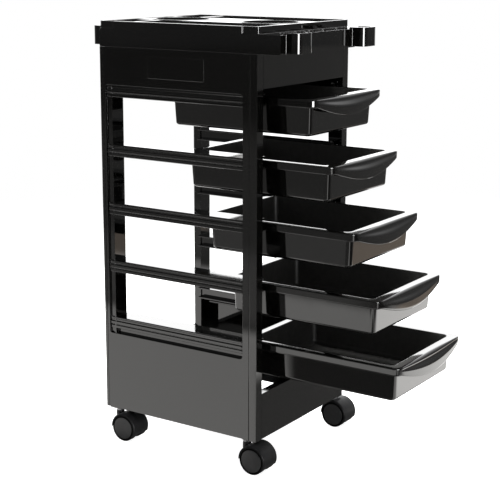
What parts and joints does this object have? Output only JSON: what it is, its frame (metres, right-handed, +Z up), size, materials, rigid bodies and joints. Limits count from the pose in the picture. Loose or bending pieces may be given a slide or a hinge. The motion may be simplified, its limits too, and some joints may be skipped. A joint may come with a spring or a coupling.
{
  "type": "salon trolley",
  "caption": "Black moulded rolling salon trolley with ladder sides, pull-out tub drawers on runners, a top tray with bowls and tool loops, and hooded twin-wheel casters.",
  "frame": {"origin": "bottom centre of the bounding box, on the floor, with the drawers in their staggered rest positions", "axes": "+Z up, +X to the right seen from the drawer side, -Y towards the user, the way the drawers pull out"},
  "size_m": [0.368, 0.714, 0.876],
  "materials": {
    "gloss_black": "high-gloss injection-moulded black ABS",
    "nylon_charcoal": "satin charcoal nylon",
    "wheel_charcoal": "satin charcoal polyamide wheel",
    "caster_steel": "zinc-plated steel",
    "screw_black": "black zinc screw"
  },
  "bodies": {
    "root": {"top_tray": "gloss_black", "left_side_panel": "gloss_black", "right_side_panel": "gloss_black", "upper_front_rail": "gloss_black", "upper_back_rail": "gloss_black", "lower_front_panel": "gloss_black", "lower_back_panel": "gloss_black", "front_screw_1": "screw_black", "front_screw_2": "screw_black", "front_screw_3": "screw_black", "front_screw_4": "screw_black", "front_screw_5": "screw_black", "front_screw_6": "screw_black", "front_screw_7": "screw_black", "front_screw_8": "screw_black", "back_screw_1": "screw_black", "back_screw_2": "screw_black", "back_screw_3": "screw_black", "back_screw_4": "screw_black", "back_screw_5": "screw_black", "back_screw_6": "screw_black", "back_screw_7": "screw_black", "back_screw_8": "screw_black", "tray_screw_1": "screw_black", "tray_screw_2": "screw_black", "tray_screw_3": "screw_black", "tray_screw_4": "screw_black", "caster_socket_fl": "nylon_charcoal", "caster_socket_fr": "nylon_charcoal", "caster_socket_rl": "nylon_charcoal", "caster_socket_rr": "nylon_charcoal", "caster_stem_fl": "caster_steel", "caster_stem_fr": "caster_steel", "caster_stem_rl": "caster_steel", "caster_stem_rr": "caster_steel"},
    "drawer_1": {"drawer_1": "gloss_black"},
    "drawer_2": {"drawer_2": "gloss_black"},
    "drawer_3": {"drawer_3": "gloss_black"},
    "drawer_4": {"drawer_4": "gloss_black"},
    "drawer_5": {"drawer_5": "gloss_black"},
    "caster_fl": {"caster_hood_fl": "nylon_charcoal", "caster_axle_fl": "caster_steel"},
    "wheel_left_fl": {"caster_wheel_left_fl": "wheel_charcoal"},
    "wheel_right_fl": {"caster_wheel_right_fl": "wheel_charcoal"},
    "caster_fr": {"caster_hood_fr": "nylon_charcoal", "caster_axle_fr": "caster_steel"},
    "wheel_left_fr": {"caster_wheel_left_fr": "wheel_charcoal"},
    "wheel_right_fr": {"caster_wheel_right_fr": "wheel_charcoal"},
    "caster_rl": {"caster_hood_rl": "nylon_charcoal", "caster_axle_rl": "caster_steel"},
    "wheel_left_rl": {"caster_wheel_left_rl": "wheel_charcoal"},
    "wheel_right_rl": {"caster_wheel_right_rl": "wheel_charcoal"},
    "caster_rr": {"caster_hood_rr": "nylon_charcoal", "caster_axle_rr": "caster_steel"},
    "wheel_left_rr": {"caster_wheel_left_rr": "wheel_charcoal"},
    "wheel_right_rr": {"caster_wheel_right_rr": "wheel_charcoal"}
  },
  "joints": [
    {"name": "slide_drawer_1", "type": "slide", "parent": "root", "child": "drawer_1", "axis": [0, -1, 0], "range_m": [-0.0855, 0.2045]},
    {"name": "slide_drawer_2", "type": "slide", "parent": "root", "child": "drawer_2", "axis": [0, -1, 0], "range_m": [-0.1275, 0.1625]},
    {"name": "slide_drawer_3", "type": "slide", "parent": "root", "child": "drawer_3", "axis": [0, -1, 0], "range_m": [-0.1765, 0.1135]},
    {"name": "slide_drawer_4", "type": "slide", "parent": "root", "child": "drawer_4", "axis": [0, -1, 0], "range_m": [-0.2305, 0.0595]},
    {"name": "slide_drawer_5", "type": "slide", "parent": "root", "child": "drawer_5", "axis": [0, -1, 0], "range_m": [-0.276, 0.014]},
    {"name": "swivel_fl", "type": "hinge", "parent": "root", "child": "caster_fl", "pos_m": [-0.16, -0.031, 0.062], "axis": [0, 0, 1], "continuous": true},
    {"name": "roll_left_fl", "type": "hinge", "parent": "caster_fl", "child": "wheel_left_fl", "pos_m": [-0.1761, -0.056, 0.0285], "axis": [1, 0, 0], "continuous": true},
    {"name": "roll_right_fl", "type": "hinge", "parent": "caster_fl", "child": "wheel_right_fl", "pos_m": [-0.1439, -0.056, 0.0285], "axis": [1, 0, 0], "continuous": true},
    {"name": "swivel_fr", "type": "hinge", "parent": "root", "child": "caster_fr", "pos_m": [0.16, -0.031, 0.062], "axis": [0, 0, 1], "continuous": true},
    {"name": "roll_left_fr", "type": "hinge", "parent": "caster_fr", "child": "wheel_left_fr", "pos_m": [0.1439, -0.056, 0.0285], "axis": [1, 0, 0], "continuous": true},
    {"name": "roll_right_fr", "type": "hinge", "parent": "caster_fr", "child": "wheel_right_fr", "pos_m": [0.1761, -0.056, 0.0285], "axis": [1, 0, 0], "continuous": true},
    {"name": "swivel_rl", "type": "hinge", "parent": "root", "child": "caster_rl", "pos_m": [-0.16, 0.293, 0.062], "axis": [0, 0, 1], "continuous": true},
    {"name": "roll_left_rl", "type": "hinge", "parent": "caster_rl", "child": "wheel_left_rl", "pos_m": [-0.1761, 0.268, 0.0285], "axis": [1, 0, 0], "continuous": true},
    {"name": "roll_right_rl", "type": "hinge", "parent": "caster_rl", "child": "wheel_right_rl", "pos_m": [-0.1439, 0.268, 0.0285], "axis": [1, 0, 0], "continuous": true},
    {"name": "swivel_rr", "type": "hinge", "parent": "root", "child": "caster_rr", "pos_m": [0.16, 0.293, 0.062], "axis": [0, 0, 1], "continuous": true},
    {"name": "roll_left_rr", "type": "hinge", "parent": "caster_rr", "child": "wheel_left_rr", "pos_m": [0.1439, 0.268, 0.0285], "axis": [1, 0, 0], "continuous": true},
    {"name": "roll_right_rr", "type": "hinge", "parent": "caster_rr", "child": "wheel_right_rr", "pos_m": [0.1761, 0.268, 0.0285], "axis": [1, 0, 0], "continuous": true}
  ]
}
